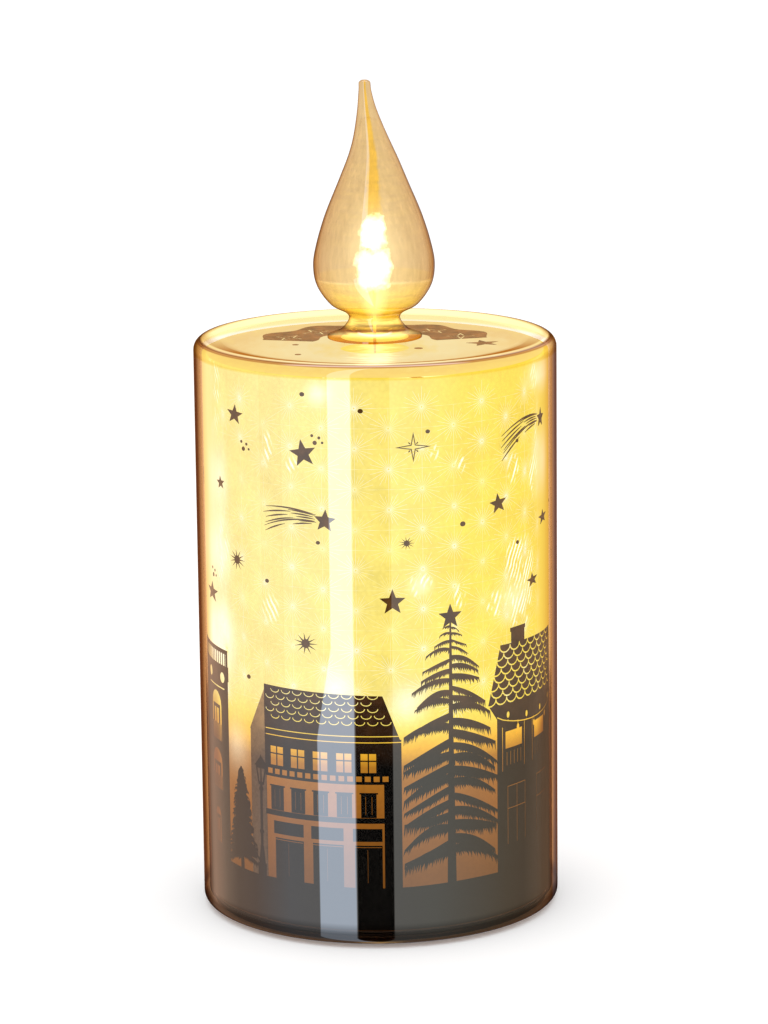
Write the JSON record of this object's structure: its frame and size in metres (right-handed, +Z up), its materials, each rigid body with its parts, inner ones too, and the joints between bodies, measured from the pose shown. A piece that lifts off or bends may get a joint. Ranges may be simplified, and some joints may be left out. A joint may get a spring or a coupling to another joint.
{
  "type": "flameless led candle",
  "caption": "Free-standing amber glass cylinder lamp with a blown glass flame on top, a rolled picture film lit from inside, and a plastic base with a battery door and a timer switch.",
  "frame": {"origin": "centre of the candle's footprint on the table, on the glass cylinder's axis, at the bottom of the rubber feet", "axes": "+Z up along the glass cylinder's axis, -Y to the front of the picture, +X to the front view's right"},
  "size_m": [0.1, 0.1, 0.2307],
  "materials": {
    "amber_glass": "clear amber, polished",
    "picture_film": "thin clear film with a dark brown print",
    "light_film": "thin lit film with a fine star-ray relief",
    "print_ink": "dark brown ink on the film, with ochre walls",
    "ray_lines": "fine bright ray lines of the light film",
    "black_plastic": "fine moulded grain",
    "silicone": "soft satin bead",
    "cell_wrap": "shrink sleeve with a plain band",
    "nickel": "bright plated",
    "zinc_steel": "zinc plated",
    "rubber": "matt",
    "lamp_resin": "clear resin drop, lit",
    "copper": "lacquered copper wire",
    "red_pvc": "satin insulation",
    "black_pvc": "satin insulation",
    "green_board": "solder mask",
    "chip_black": "moulded epoxy",
    "white_plastic": "fine moulded grain"
  },
  "bodies": {
    "candle": {"base_housing": "black_plastic", "base_plate": "black_plastic", "base_screw_1": "zinc_steel", "base_screw_2": "zinc_steel", "base_screw_3": "zinc_steel", "base_screw_4": "zinc_steel", "base_seal": "silicone", "battery_1": "cell_wrap", "battery_2": "cell_wrap", "battery_3": "cell_wrap", "board_screw_1": "zinc_steel", "board_screw_2": "zinc_steel", "contact_bridge_1": "nickel", "contact_bridge_2": "nickel", "contact_negative": "nickel", "contact_positive": "nickel", "flame_glass": "amber_glass", "flame_lamp_1": "lamp_resin", "flame_lamp_2": "lamp_resin", "foot_1": "rubber", "foot_2": "rubber", "foot_3": "rubber", "foot_4": "rubber", "glass_body": "amber_glass", "lamp_01": "lamp_resin", "lamp_02": "lamp_resin", "lamp_03": "lamp_resin", "lamp_04": "lamp_resin", "lamp_05": "lamp_resin", "lamp_06": "lamp_resin", "lamp_07": "lamp_resin", "lamp_08": "lamp_resin", "lamp_09": "lamp_resin", "lamp_10": "lamp_resin", "lamp_wire": "copper", "lead_black": "black_pvc", "lead_red": "red_pvc", "light_film": "light_film", "picture_film": "picture_film", "switch_body": "zinc_steel", "timer_board": "green_board", "timer_capacitor": "nickel", "timer_chip": "chip_black", "timer_crystal": "nickel", "top_film": "picture_film", "wire_grommet": "rubber"},
    "door": {"battery_door": "black_plastic"},
    "slider": {"switch_slider": "white_plastic"}
  },
  "joints": [
    {"name": "battery_door_hinge", "type": "hinge", "parent": "candle", "child": "door", "pos_m": [-0.0275, 0, 0.001], "axis": [0, 1, 0], "range_deg": [0, 100], "stiffness_Nm_per_rad": 0.0005},
    {"name": "timer_switch_slide", "type": "slide", "parent": "candle", "child": "slider", "axis": [1, 0, 0], "range_m": [-0.002, 0.002]}
  ]
}
